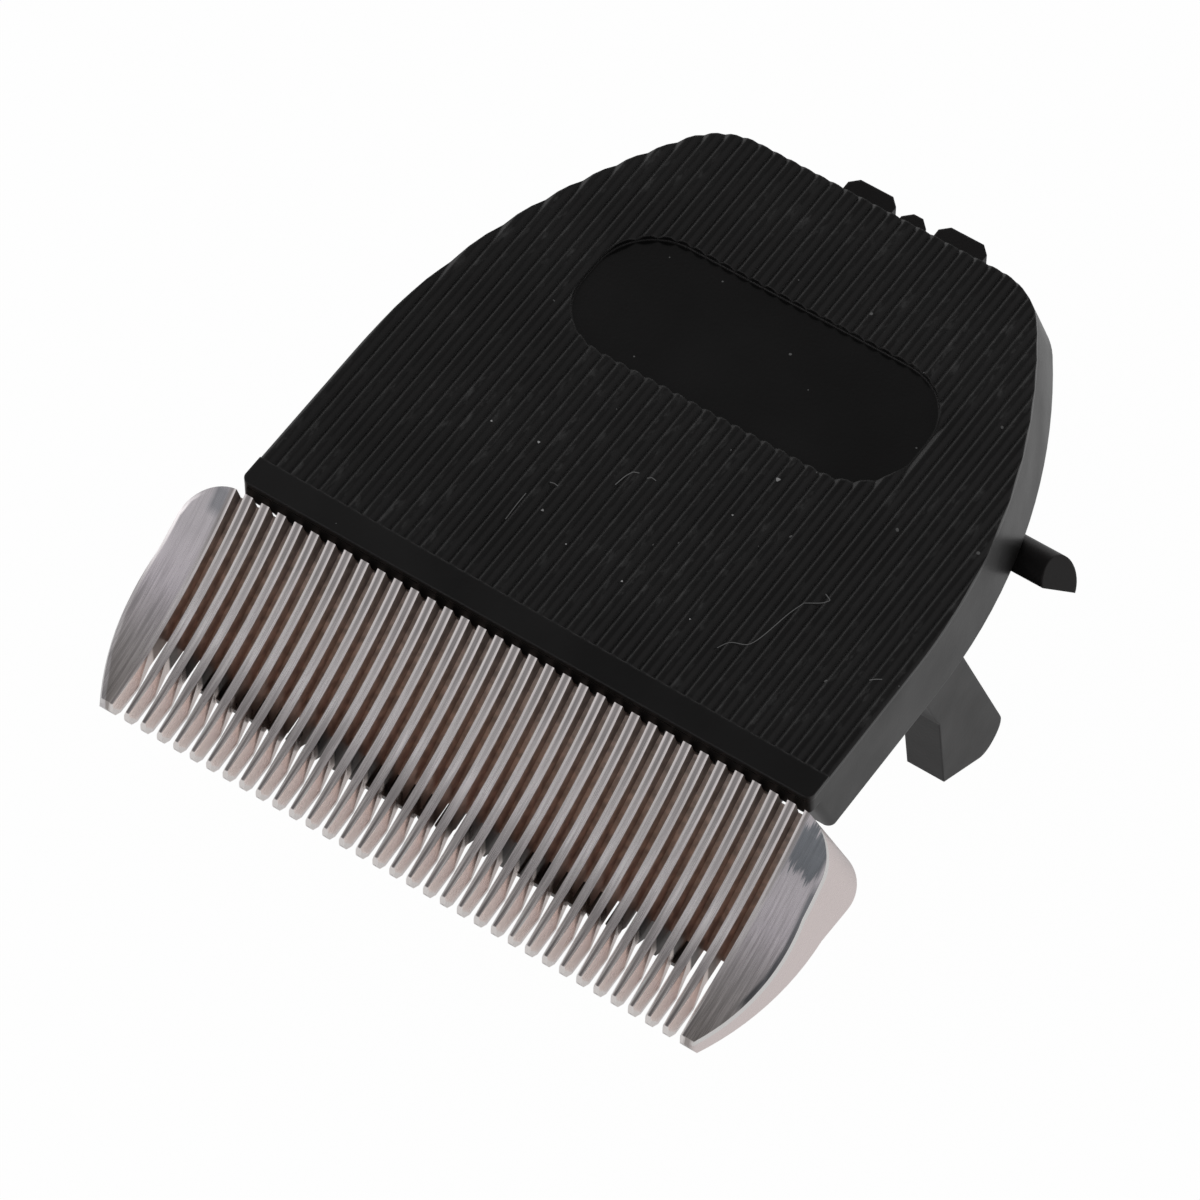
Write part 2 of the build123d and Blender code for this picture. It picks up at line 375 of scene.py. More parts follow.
class GrindMarks(EffectGroup):
    """Grinding marks: noise drawn out along one direction, fine lines over broad bands."""

    name = "grind_marks"
    inputs = {
        "Stretch": ("NodeSocketVector", Grind.ALONG_TEETH.value),
        "Fineness": ("NodeSocketFloat", 700.0),
    }
    outputs = {"Lines": "NodeSocketFloat", "Bands": "NodeSocketFloat"}
    line_detail = 5.0
    line_roughness = 0.65
    band_detail = 2.0
    band_share = 0.16

    def fill(self, tree: Tree) -> None:
        """The object's coordinates are stretched before both noises read them.

        Args:
            tree: The group's tree.
        """
        stretch = tree.add("ShaderNodeVectorMath", operation="MULTIPLY")
        tree.join(tree.object_place(), stretch.inputs[0])
        tree.join(self.source["Stretch"], stretch.inputs[1])
        place, scale = stretch.outputs[0], self.source["Fineness"]
        lines = tree.noise(place, scale, self.line_detail, self.line_roughness)
        bands = tree.noise(place, tree.times(scale, self.band_share), self.band_detail)
        tree.join(lines, self.sink["Lines"])
        tree.join(bands, self.sink["Bands"])


class ToothPlace(EffectGroup):
    """Where a point lies, in millimetres of the drawing.

    Depth is the distance from the comb's hollow-ground top, which is part of a cylinder across
    the teeth. Across is the distance from the middle of the nearest tooth, or of the nearest rib
    when it is given the ribs' pitch. Along runs from the cover's front edge to the rear, Side
    runs across the teeth, and Up is the height over the cover's ridges. Open is 0 on faces that
    look down, and Flank is 1 on faces that look sideways.
    """

    name = "tooth_place"
    inputs = {
        "Pitch": ("NodeSocketFloat", 1.153),
        "Centre Along": ("NodeSocketFloat", -20.951),
        "Centre Up": ("NodeSocketFloat", 21.390),
        "Radius": ("NodeSocketFloat", 29.925),
        "Shift Along": ("NodeSocketFloat", -DRAWING_TO_FRAME_MM[1]),
        "Shift Up": ("NodeSocketFloat", -DRAWING_TO_FRAME_MM[2]),
    }
    outputs = {
        "Depth": "NodeSocketFloat",
        "Across": "NodeSocketFloat",
        "Along": "NodeSocketFloat",
        "Side": "NodeSocketFloat",
        "Up": "NodeSocketFloat",
        "Open": "NodeSocketFloat",
        "Flank": "NodeSocketFloat",
    }
    not_downward: Range = (-0.4, -0.2)
    sideways: Range = (0.4, 0.7)
    half_turn = 0.5

    def fill(self, tree: Tree) -> None:
        """Plain sums on the object's coordinates.

        Args:
            tree: The group's tree.
        """
        place = tree.split(tree.object_place())
        side, rearward, upward = (tree.times(place[axis], MM_PER_M) for axis in "XYZ")
        along = tree.math("ADD", rearward, self.source["Shift Along"])
        up = tree.math("ADD", upward, self.source["Shift Up"])
        run = tree.math("SUBTRACT", along, self.source["Centre Along"])
        rise = tree.math("SUBTRACT", up, self.source["Centre Up"])
        squares = tree.math("ADD", tree.times(run, run), tree.times(rise, rise))
        depth = tree.math("SUBTRACT", tree.math("SQRT", squares), self.source["Radius"])
        turns = tree.math("DIVIDE", side, self.source["Pitch"])
        turn = tree.math("FRACT", tree.math("ADD", turns, self.half_turn))
        off_middle = tree.math("ABSOLUTE", tree.math("SUBTRACT", turn, self.half_turn))
        facing = tree.split(tree.add("ShaderNodeNewGeometry").outputs["True Normal"])
        steep = tree.math("ABSOLUTE", facing["X"])
        tree.join(depth, self.sink["Depth"])
        tree.join(tree.times(off_middle, self.source["Pitch"]), self.sink["Across"])
        tree.join(along, self.sink["Along"])
        tree.join(side, self.sink["Side"])
        tree.join(up, self.sink["Up"])
        tree.join(tree.ramp(facing["Z"], *self.not_downward), self.sink["Open"])
        tree.join(tree.ramp(steep, *self.sideways), self.sink["Flank"])


@dataclass
class Effects:
    """The node groups that the finishes share."""

    grain: MouldGrain = field(default_factory=MouldGrain)
    dust: DustSpecks = field(default_factory=DustSpecks)
    grind: GrindMarks = field(default_factory=GrindMarks)
    tooth: ToothPlace = field(default_factory=ToothPlace)


@dataclass(frozen=True)
class Finish:
    """A named surface finish with one Principled BSDF."""

    name: str

    def material(self, effects: Effects) -> bpy.types.Material:
        """Make the material.

        Args:
            effects: The shared node groups.

        Returns:
            The finished material.
        """
        made = bpy.data.materials.new(self.name)
        made.use_nodes = True
        tree = Tree(made.node_tree)
        self.dress(tree, made.node_tree.nodes["Principled BSDF"], effects)
        return made

    def dress(self, tree: Tree, bsdf: bpy.types.Node, effects: Effects) -> None:
        """Set and feed the material's shader."""
        raise NotImplementedError


@dataclass(frozen=True)
class MouldedPlastic(Finish):
    """Black moulded plastic with fine grain, uneven sheen and a little dust."""

    shade: float = 0.0045
    cloudy_shade: float = 0.007
    smooth: float = 0.3
    rough: float = 0.42
    gloss: float = 0.22
    skin: float = 0.15
    skin_rough: float = 0.2
    sheen: Colour = grey(1.0)
    cloud: Range = (0.35, 0.7)
    grain_size: float = 0.00022
    grain_strength: float = 0.25
    grain_depth: float = 0.00003
    soft_edge: float = 0.0002
    edge_samples: int = 6
    dust_share: float = 0.0
    dust: Colour = grey(0.16)

    def colour(self, tree: Tree, grain: Sockets, effects: Effects) -> Socket:
        """Shade the plastic by the cloud and whiten it by dust.

        Args:
            tree: The material's tree.
            grain: Outputs of the mould grain.
            effects: The shared node groups.

        Returns:
            The colour.
        """
        cloud = tree.ramp(grain["Cloud"], *self.cloud)
        shade = tree.mix(cloud, grey(self.shade), grey(self.cloudy_shade))
        specks = effects.dust.place(tree, Share=self.dust_share).outputs["Mask"]
        return tree.mix(specks, shade, self.dust)

    def roughness(self, tree: Tree, grain: Sockets, effects: Effects) -> Socket:
        """Vary the roughness by the cloud.

        Args:
            tree: The material's tree.
            grain: Outputs of the mould grain.
            effects: The shared node groups; not used here.

        Returns:
            The roughness.
        """
        return tree.between(tree.ramp(grain["Cloud"], *self.cloud), self.smooth, self.rough)

    def dress(self, tree: Tree, bsdf: bpy.types.Node, effects: Effects) -> None:
        """Feed colour and roughness, and bump the softened edges with the grain.

        Args:
            tree: The material's tree.
            bsdf: Its Principled BSDF.
            effects: The shared node groups.
        """
        bsdf.inputs["Specular IOR Level"].default_value = self.gloss
        bsdf.inputs["Specular Tint"].default_value = self.sheen
        bsdf.inputs["Coat Weight"].default_value = self.skin
        bsdf.inputs["Coat Roughness"].default_value = self.skin_rough
        grain = effects.grain.place(tree, Size=self.grain_size).outputs
        tree.join(self.colour(tree, grain, effects), bsdf.inputs["Base Color"])
        tree.join(self.roughness(tree, grain, effects), bsdf.inputs["Roughness"])
        edge = tree.add("ShaderNodeBevel", samples=self.edge_samples)
        edge.inputs["Radius"].default_value = self.soft_edge
        bump = tree.bump(grain["Height"], self.grain_strength, self.grain_depth)
        tree.join(edge.outputs["Normal"], bump.inputs["Normal"])
        tree.join(bump.outputs["Normal"], bsdf.inputs["Normal"])


@dataclass(frozen=True)
class RibbedPlastic(MouldedPlastic):
    """The cover's plastic: dust wiped along the ridges, and a smoother oval recess.

    Places are in millimetres of the drawing.
    """

    rib_pitch: float = 1.0
    ridge_across: Range = (0.3, 0.16)
    ribs_along: Range = (1.9, 2.2)
    ribs_up: Range = (-0.36, -0.3)
    recess_up: Band = (-0.5, -0.42, 0.05)
    recess_smoothing: float = 0.45
    wiped: Colour = grey(0.08)
    wiped_share: float = 0.6
    wiped_fineness: float = 2200.0
    wiped_dashes: Range = (0.52, 0.68)
    wiped_patches: Range = (0.4, 0.6)

    def colour(self, tree: Tree, grain: Sockets, effects: Effects) -> Socket:
        """Lay dashes of dust on the ridges, in patches.

        Args:
            tree: The material's tree.
            grain: Outputs of the mould grain.
            effects: The shared node groups.

        Returns:
            The colour.
        """
        at = effects.tooth.place(tree, Pitch=self.rib_pitch).outputs
        marks = effects.grind.place(
            tree, Stretch=Grind.WIPED.value, Fineness=self.wiped_fineness
        ).outputs
        dashes = tree.ramp(marks["Lines"], *self.wiped_dashes)
        patches = tree.ramp(grain["Cloud"], *self.wiped_patches)
        ridges = tree.times(
            tree.ramp(at["Across"], *self.ridge_across),
            tree.ramp(at["Along"], *self.ribs_along),
            tree.ramp(at["Up"], *self.ribs_up),
        )
        mask = tree.times(dashes, patches, ridges, self.wiped_share)
        return tree.mix(mask, super().colour(tree, grain, effects), self.wiped)

    def roughness(self, tree: Tree, grain: Sockets, effects: Effects) -> Socket:
        """Smooth the floor of the recess.

        Args:
            tree: The material's tree.
            grain: Outputs of the mould grain.
            effects: The shared node groups.

        Returns:
            The roughness.
        """
        at = effects.tooth.place(tree).outputs
        recess = tree.band(at["Up"], *self.recess_up)
        keep = tree.inverse(tree.times(recess, self.recess_smoothing))
        return tree.times(super().roughness(tree, grain, effects), keep)


@dataclass(frozen=True)
class GroundSteel(Finish):
    """Ground blade steel with lines along the grind and darker bands."""

    light: Colour = tint(0.60, 0.58, 0.575)
    dark: Colour = tint(0.30, 0.285, 0.28)
    smooth: float = 0.2
    rough: float = 0.38
    grind: Grind = Grind.ALONG_TEETH
    fineness: float = 700.0
    lines: Range = (0.36, 0.66)
    bands: Range = (0.3, 0.7)
    line_share: float = 0.5
    scratch_strength: float = 0.3
    scratch_depth: float = 0.00002

    def dress(self, tree: Tree, bsdf: bpy.types.Node, effects: Effects) -> None:
        """Bands shade the steel, lines roughen it and give it a shallow bump.

        Args:
            tree: The material's tree.
            bsdf: Its Principled BSDF.
            effects: The shared node groups.
        """
        bsdf.inputs["Metallic"].default_value = 1.0
        marks = effects.grind.place(
            tree, Stretch=self.grind.value, Fineness=self.fineness
        ).outputs
        lines = tree.ramp(marks["Lines"], *self.lines)
        bands = tree.ramp(marks["Bands"], *self.bands)
        tone = tree.times(tree.math("ADD", lines, bands), self.line_share)
        tree.join(tree.mix(tone, self.dark, self.light), bsdf.inputs["Base Color"])
        tree.join(tree.between(lines, self.smooth, self.rough), bsdf.inputs["Roughness"])
        bump = tree.bump(marks["Lines"], self.scratch_strength, self.scratch_depth)
        tree.join(bump.outputs["Normal"], bsdf.inputs["Normal"])


@dataclass(frozen=True)
class CombSteel(Finish):
    """Used comb steel: ground lands, brown grime in the grooves, and painted reflections and
    painted shade on the tooth flanks.

    Places are in millimetres of the drawing, and those along the teeth run from the tips to the
    cover. The outline gives half the top's width at places along the teeth.
    """

    length: Range = (-12.9, -0.4)
    middle_span: Range = (19.75, 19.6)
    cut_depth: Range = (0.02, 0.06)
    land: Stops = (
        (-12.9, tint(0.44, 0.40, 0.40)),
        (-11.0, tint(0.44, 0.40, 0.40)),
        (-9.0, tint(0.55, 0.51, 0.515)),
        (-7.0, tint(0.69, 0.65, 0.66)),
        (-4.5, tint(0.47, 0.44, 0.445)),
        (-0.4, tint(0.31, 0.285, 0.285)),
    )
    # Grooves from the tips back: near white, a painted reflection of the bright floor; a black
    # band, a painted reflection of the dark cutter; brown grime; paler at the rear, a painted
    # sheen.
    groove: Stops = (
        (-12.9, tint(0.98, 0.93, 0.91)),
        (-10.9, tint(0.96, 0.89, 0.87)),
        (-10.5, tint(0.95, 0.86, 0.83)),
        (-9.1, tint(0.90, 0.79, 0.75)),
        (-8.95, tint(0.05, 0.04, 0.036)),
        (-8.3, tint(0.13, 0.092, 0.08)),
        (-7.6, tint(0.45, 0.29, 0.23)),
        (-4.0, tint(0.60, 0.42, 0.335)),
        (-0.4, tint(0.84, 0.69, 0.62)),
    )
    end_land: Stops = (
        (-12.9, tint(0.44, 0.40, 0.385)),
        (-9.5, tint(0.48, 0.445, 0.445)),
        (-6.0, tint(0.50, 0.46, 0.49)),
        (-3.0, tint(0.30, 0.28, 0.295)),
        (-0.4, tint(0.24, 0.225, 0.235)),
    )
    outline: Path = (
        (-12.9, 20.1), (-10.4, 21.4), (-8.1, 22.0), (-6.4, 22.15), (-4.0, 22.0),
        (-2.7, 21.95), (-1.9, 21.7), (-1.2, 21.1), (-0.4, 19.3),
    )
    outline_white: float = 30.0

    # Painted reflection: a dark line along the middle of each tooth's top at the rear.
    painted_dark_middle: Colour = tint(0.10, 0.093, 0.093)
    painted_dark_middle_across: Range = (0.17, 0.1)
    painted_dark_middle_along: Range = (-6.5, -2.0)
    painted_dark_middle_share: float = 0.8
    # Painted highlights along both edges of each tooth's top at the rear.
    rear_edge_highlight: Colour = tint(0.38, 0.355, 0.355)
    rear_edge_highlight_across: Range = (0.16, 0.21)
    rear_edge_highlight_along: Range = (-7.5, -3.5)
    # Painted highlights, near white, on the edges of the tooth tops near the tips.
    front_edge_highlight: Colour = tint(1.0, 0.93, 0.91)
    front_edge_highlight_across: Range = (0.05, 0.1)
    front_edge_highlight_along: Range = (-9.5, -11.5)

    # A darker patch by the cover and a dark line inside the right edge of the right end tooth, and
    # a dark spot on the left end tooth.
    dark_marks: Colour = tint(0.10, 0.105, 0.115)
    patch_side: Band = (19.8, 21.6, 0.25)
    patch_along: Band = (-2.9, -1.0, 0.3)
    patch_ragged: float = 1.2
    edge_line_inset: Range = (0.32, 0.16)
    edge_line_along: Band = (-9.5, -3.6, 0.8)
    edge_line_share: float = 0.85
    spot_side: Band = (-20.3, -19.5, 0.4)
    spot_along: Band = (-1.6, -0.8, 0.5)
    spot_share: float = 0.7
    right_half: Range = (-1.0, 1.0)
    outer_span: Range = (20.0, 20.4)
    # Painted reflection: the end teeth's outer walls take a near-white colour so they look as
    # bright as the reflected floor.
    wall_reflection: Colour = tint(0.95, 0.845, 0.83)
    wall_reflection_depth: Range = (0.05, 0.1)
    # Painted highlight along the outer edge of the left end tooth's top.
    left_edge_highlight: Colour = tint(0.74, 0.70, 0.71)
    left_edge_highlight_inset: Range = (0.22, 0.12)
    left_edge_highlight_along: Range = (-1.2, -2.4)
    # Painted highlight on the outer rims of both end teeth, just below the top.
    rim_highlight: Colour = tint(0.95, 0.93, 0.92)
    rim_highlight_depth: Band = (0.03, 0.3, 0.03)

    # Painted reflection of the bright floor through the cutter's gaps, where they line up with the
    # comb's grooves in a slow beat across the black band.
    gap_reflection: Colour = tint(0.62, 0.48, 0.42)
    beat: float = 10.86
    beat_start: float = 16.5
    beat_gap: Range = (0.2, -0.5)
    beat_along: Band = (-8.95, -7.6, 0.3)
    # Painted shade on the tooth flanks, darker towards the rear.
    flank_shade: Colour = tint(0.02, 0.015, 0.012)
    flank_shade_along: Range = (-6.5, -0.4)
    flank_shade_share: float = 0.72

    fineness: float = 700.0
    lines: Range = (0.34, 0.68)
    line_middle: float = 0.5
    streak_share: float = 0.4
    grime_along: Range = (-8.9, -7.6)
    grime_rough: float = 0.25
    blotch_size: float = 0.0006
    blotches: Range = (0.35, 0.65)
    blotch_middle: float = 0.5
    blotch_share: float = 0.55
    smooth: float = 0.2
    rough: float = 0.34
    scratch_strength: float = 0.3
    scratch_depth: float = 0.00002

    def land_colour(self, tree: Tree, at: Sockets) -> Socket:
        """Colour the teeth's tops: a painted dark reflection along the middles and painted
        highlights on the edges at the rear, painted highlights on the edges in front.

        Args:
            tree: The material's tree.
            at: Outputs of the tooth place.

        Returns:
            The colour.
        """
        along, across = at["Along"], at["Across"]
        colour = tree.colours(along, self.land, *self.length)
        # Painted dark middle line and painted edge highlights on the tops of the teeth.
        painted_dark_middle = tree.times(tree.ramp(across, *self.painted_dark_middle_across), tree.ramp(along, *self.painted_dark_middle_along))
        colour = tree.mix(tree.times(painted_dark_middle, self.painted_dark_middle_share), colour, self.painted_dark_middle)
        rear_edge_highlight = tree.times(tree.ramp(across, *self.rear_edge_highlight_across), tree.ramp(along, *self.rear_edge_highlight_along))
        colour = tree.mix(rear_edge_highlight, colour, self.rear_edge_highlight)
        front_edge_highlight = tree.times(
            tree.ramp(across, *self.front_edge_highlight_across), tree.ramp(along, *self.front_edge_highlight_along)
        )
        return tree.mix(front_edge_highlight, colour, self.front_edge_highlight)

    def end_colour(self, tree: Tree, at: Sockets, uneven: Socket) -> Socket:
        """Colour the two end teeth: darker marks, a painted reflection that makes the outer walls
        pale, and painted highlights along the left edge and on the rims.

        Args:
            tree: The material's tree.
            at: Outputs of the tooth place.
            uneven: Grinding lines, from -0.5 to 0.5.

        Returns:
            The colour.
        """
        along, depth, side = at["Along"], at["Depth"], at["Side"]
        span = tree.math("ABSOLUTE", side)
        right = tree.ramp(side, *self.right_half)
        outer = tree.ramp(span, *self.outer_span)
        stops = tuple((place, grey(half / self.outline_white)) for place, half in self.outline)
        reach = tree.times(tree.colours(along, stops, *self.length), self.outline_white)
        inset = tree.math("SUBTRACT", reach, span)

        ragged = tree.math("ADD", along, tree.times(uneven, self.patch_ragged))
        patch = tree.times(
            tree.band(side, *self.patch_side), tree.band(ragged, *self.patch_along)
        )
        edge_line = tree.times(
            tree.ramp(inset, *self.edge_line_inset),
            right,
            tree.band(along, *self.edge_line_along),
            self.edge_line_share,
        )
        spot = tree.times(
            tree.band(side, *self.spot_side), tree.band(along, *self.spot_along), self.spot_share
        )
        dark_marks = tree.math("MAXIMUM", tree.math("MAXIMUM", patch, edge_line), spot)
        wall_reflection = tree.times(tree.ramp(depth, *self.wall_reflection_depth), outer)
        left_edge_highlight = tree.times(
            tree.ramp(inset, *self.left_edge_highlight_inset),
            tree.inverse(right),
            tree.ramp(along, *self.left_edge_highlight_along),
        )
        rim_highlight = tree.times(tree.band(depth, *self.rim_highlight_depth), outer)

        colour = tree.colours(along, self.end_land, *self.length)
        colour = tree.mix(dark_marks, colour, self.dark_marks)
        colour = tree.mix(wall_reflection, colour, self.wall_reflection)
        colour = tree.mix(left_edge_highlight, colour, self.left_edge_highlight)
        return tree.mix(rim_highlight, colour, self.rim_highlight)

    def groove_colour(self, tree: Tree, at: Sockets) -> Socket:
        """Colour the grooves: brown grime, painted reflections of the floor and of the cutter, the
        slow beat of the cutter's teeth as a painted reflection, and painted shade on the flanks.

        Args:
            tree: The material's tree.
            at: Outputs of the tooth place.

        Returns:
            The colour.
        """
        along = at["Along"]
        # Painted reflection of the floor through the cutter's gaps, in a slow beat across the
        # black band.
        turn = tree.times(tree.math("ADD", at["Side"], self.beat_start), math.tau / self.beat)
        gap = tree.ramp(tree.math("COSINE", turn), *self.beat_gap)
        gap_reflection = tree.times(gap, tree.band(along, *self.beat_along))
        # Painted shade on the flanks towards the rear.
        shaded_flank = tree.times(at["Flank"], tree.ramp(along, *self.flank_shade_along), self.flank_shade_share)
        colour = tree.colours(along, self.groove, *self.length)
        colour = tree.mix(gap_reflection, colour, self.gap_reflection)
        return tree.mix(shaded_flank, colour, self.flank_shade)

    def dress(self, tree: Tree, bsdf: bpy.types.Node, effects: Effects) -> None:
        """Masks from the place on the comb choose between lands, grooves and ends.

        Args:
            tree: The material's tree.
            bsdf: Its Principled BSDF.
            effects: The shared node groups.
        """
        at = effects.tooth.place(tree).outputs
        marks = effects.grind.place(
            tree, Stretch=Grind.ALONG_TEETH.value, Fineness=self.fineness
        ).outputs
        lines = tree.ramp(marks["Lines"], *self.lines)
        uneven = tree.math("SUBTRACT", lines, self.line_middle)
        middle = tree.ramp(tree.math("ABSOLUTE", at["Side"]), *self.middle_span)
        sunk = tree.ramp(at["Depth"], *self.cut_depth)
        cut = tree.times(sunk, middle, at["Open"])
        grime = tree.times(cut, tree.ramp(at["Along"], *self.grime_along))

        top = tree.mix(middle, self.end_colour(tree, at, uneven), self.land_colour(tree, at))
        colour = tree.mix(cut, top, self.groove_colour(tree, at))
        streaks = tree.times(uneven, tree.inverse(sunk), self.streak_share)
        grain = effects.grain.place(tree, Size=self.blotch_size).outputs
        blotches = tree.ramp(grain["Height"], *self.blotches)
        blotches = tree.math("SUBTRACT", blotches, self.blotch_middle)
        mottle = tree.times(blotches, grime, self.blotch_share)
        level = tree.math("ADD", tree.math("ADD", streaks, 1.0), mottle)
        tree.join(tree.mix(1.0, colour, level, "MULTIPLY"), bsdf.inputs["Base Color"])

        tree.join(tree.inverse(grime), bsdf.inputs["Metallic"])
        rough = tree.between(lines, self.smooth, self.rough)
        rough = tree.math("ADD", rough, tree.times(grime, self.grime_rough))
        tree.join(rough, bsdf.inputs["Roughness"])
        bump = tree.bump(marks["Lines"], self.scratch_strength, self.scratch_depth)
        tree.join(bump.outputs["Normal"], bsdf.inputs["Normal"])


COVER_FINISH = RibbedPlastic("cover_plastic", dust_share=0.25, sheen=tint(1.0, 0.96, 0.97))
FRAME_FINISH = MouldedPlastic(
    "frame_plastic", shade=0.006, cloudy_shade=0.009, gloss=0.16, sheen=tint(1.0, 0.88, 0.89)
)
CARRIER_FINISH = MouldedPlastic("carrier_plastic", shade=0.018, cloudy_shade=0.028, gloss=0.35)
FIBRE_FINISH = MouldedPlastic("lint_fibre", shade=0.15, cloudy_shade=0.24, smooth=0.7, rough=0.9)
SPECK_FINISH = MouldedPlastic("lint_speck", shade=0.3, cloudy_shade=0.6, smooth=0.7, rough=0.9)
COMB_FINISH = CombSteel("comb_steel")
CUTTER_FINISH = GroundSteel(
    "cutter_steel",
    light=tint(0.09, 0.075, 0.066),
    dark=tint(0.03, 0.024, 0.022),
    smooth=0.3,
    rough=0.5,
)
SPRING_FINISH = GroundSteel("spring_steel", grind=Grind.ACROSS_TEETH, fineness=900.0)
SCREW_FINISH = GroundSteel("screw_steel", dark=tint(0.34, 0.33, 0.32), fineness=1400.0)


@dataclass
class SubAssembly:
    """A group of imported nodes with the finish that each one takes."""

    finishes: dict[str, Finish]

    def dress(self, effects: Effects, made: dict[Finish, bpy.types.Material]) -> None:
        """Give each node its material.

        Args:
            effects: The shared node groups.
            made: Materials made so far, by finish.
        """
        for node, finish in self.finishes.items():
            if finish not in made:
                made[finish] = finish.material(effects)
            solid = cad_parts[node]
            solid.data.materials.clear()
            solid.data.materials.append(made[finish])
            log.info("%s takes %s", node, finish.name)


@dataclass
class Housing(SubAssembly):
    """Ribbed cover, frame and the screws that hold them."""

    finishes: dict[str, Finish] = field(
        default_factory=lambda: {
            "top_cover": COVER_FINISH,
            "base_frame": FRAME_FINISH,
            "cover_screws": SCREW_FINISH,
        }
    )


@dataclass
class BladeSet(SubAssembly):
    """Comb, cutter, carrier, springs and the comb's screws."""

    finishes: dict[str, Finish] = field(
        default_factory=lambda: {
            "comb_blade": COMB_FINISH,
            "cutter_blade": CUTTER_FINISH,
            "cutter_carrier": CARRIER_FINISH,
            "pressure_spring_right": SPRING_FINISH,
            "pressure_spring_left": SPRING_FINISH,
            "comb_screws": SCREW_FINISH,
        }
    )


@dataclass
class Lint:
    """Thin fibres and specks of dust that lie on the cover's ribs.

    Places are in millimetres of the drawing: across the cover, and back from its front edge.
    """

    fibres: tuple[Path, ...] = (
        ((-1.52, 11.66), (-1.39, 12.47), (-1.19, 12.97), (-0.84, 13.1)),
        ((-0.28, 13.05), (-0.07, 13.24), (0.24, 13.19)),
        ((9.49, 5.57), (9.84, 6.36), (10.86, 6.64), (11.18, 7.68), (11.51, 9.79), (11.84, 10.85)),
        ((11.84, 10.85), (12.68, 11.41), (12.99, 11.83), (12.51, 12.05)),
        ((-4.69, 9.72), (-4.46, 9.79), (-4.15, 9.75)),
        ((-5.31, 6.18), (-5.37, 7.31), (-5.38, 8.32)),
        ((17.72, 8.53), (17.99, 8.79), (18.28, 8.97)),
    )
    specks: Path = (
        (5.93, 17.16), (-6.81, 11.68), (-3.93, 7.87), (-9.89, 11.4),
        (5.17, 13.64), (2.54, 6.34), (-1.5, 6.68), (7.15, 6.34),
    )
    speck_radii: tuple[float, ...] = (0.13, 0.08, 0.08, 0.06, 0.06, 0.06, 0.05, 0.05)
    fibre_width: float = 0.055
    level: float = -0.012
    steps: int = 24
    smoothings: int = 3
    speck_rise: float = 0.01
    corners: int = 9
    lobes: float = 3.0
    lobe_share: float = 0.25

    def ribbon(self, path: Path) -> Shape:
        """Flat strip along a smoothed path.

        The path is resampled at even steps. Each inner point becomes a quarter of either
        neighbour and half of itself, a few times over. The strip's edges lie half a width to
        either side, square to the path.

        Args:
            path: Places along the fibre.

        Returns:
            Points and four-sided faces.
        """
        knots = np.array(path)
        places = np.arange(len(knots))
        spots = np.linspace(0.0, places[-1], self.steps)
        line = np.column_stack([np.interp(spots, places, axis) for axis in knots.T])
        for _ in range(self.smoothings):
            line[1:-1] = (line[:-2] + 2.0 * line[1:-1] + line[2:]) / 4.0
        run = np.gradient(line, axis=0)
        run /= np.linalg.norm(run, axis=1, keepdims=True)
        sideways = np.column_stack([-run[:, 1], run[:, 0]]) * self.fibre_width / 2.0
        flat = np.concatenate([line + sideways, line - sideways])
        points = np.column_stack([flat, np.full(len(flat), self.level)])
        first = np.arange(self.steps - 1)
        faces = np.column_stack([first, first + self.steps, first + self.steps + 1, first + 1])
        return points, faces

    def dome(self, spot: tuple[float, float], radius: float) -> Shape:
        """Low cone over a ring of corners.

        The ring's radius swells and shrinks as a sine of the turn, a few times round.

        Args:
            spot: Middle of the speck.
            radius: Radius of its ring.

        Returns:
            Points and three-sided faces.
        """
        turn = np.arange(self.corners) * math.tau / self.corners
        uneven = radius * (1.0 + self.lobe_share * np.sin(self.lobes * turn + spot[0]))
        ring = np.column_stack([spot[0] + uneven * np.cos(turn), spot[1] + uneven * np.sin(turn)])
        points = np.column_stack([ring, np.full(self.corners, self.level)])
        points = np.vstack([points, [*spot, self.level + self.speck_rise]])
        first = np.arange(self.corners)
        top = np.full(self.corners, self.corners)
        faces = np.column_stack([first, (first + 1) % self.corners, top])
        return points, faces

    def piece(self, name: str, shapes: list[Shape], look: bpy.types.Material) -> None:
        """Join shapes into one piece that rides on the head.

        Args:
            name: Name of the piece.
            shapes: Points and faces of each shape.
            look: Its material.
        """
        starts = np.cumsum([0] + [len(points) for points, _ in shapes])
        points = np.vstack([points for points, _ in shapes])
        faces = np.vstack([faces + start for (_, faces), start in zip(shapes, starts)])
        points = (points + DRAWING_TO_FRAME_MM) / MM_PER_M
        mesh = bpy.data.meshes.new(name)
        mesh.from_pydata(points.tolist(), [], faces.tolist())
        mesh.materials.append(look)
        piece = bpy.data.objects.new(name, mesh)
        bpy.context.scene.collection.objects.link(piece)
        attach(piece, Body.HEAD.value)
        log.info("%s has %d faces", name, len(faces))

    def lay(self, effects: Effects) -> None:
        """Lay the fibres and the specks.

        Args:
            effects: The shared node groups.
        """
        fibres = [self.ribbon(path) for path in self.fibres]
        self.piece("lint_fibres", fibres, FIBRE_FINISH.material(effects))
        specks = [self.dome(spot, size) for spot, size in zip(self.specks, self.speck_radii)]
        self.piece("lint_specks", specks, SPECK_FINISH.material(effects))


@dataclass(frozen=True)
class Lamp:
    """A square soft lamp: its name, its place in metres and its power in watts."""

    name: str
    spot: Point
    watts: float


def placed(axes: np.ndarray, spot: np.ndarray) -> Matrix:
    """Matrix of an object with the given axes at the given place.

    Args:
        axes: Right, up and back as the columns of a square.
        spot: Place in metres.

    Returns:
        The matrix.
    """
    matrix = np.eye(4)
    matrix[:3, :3] = axes
    matrix[:3, 3] = spot
    return Matrix(matrix.tolist())


def seen_directly(path: bpy.types.Node, tree: Tree) -> Socket:
    """Mask of what the camera sees, directly or through something clear."""
    rays = path.outputs
    return tree.math("MAXIMUM", rays["Is Camera Ray"], rays["Is Transmission Ray"])


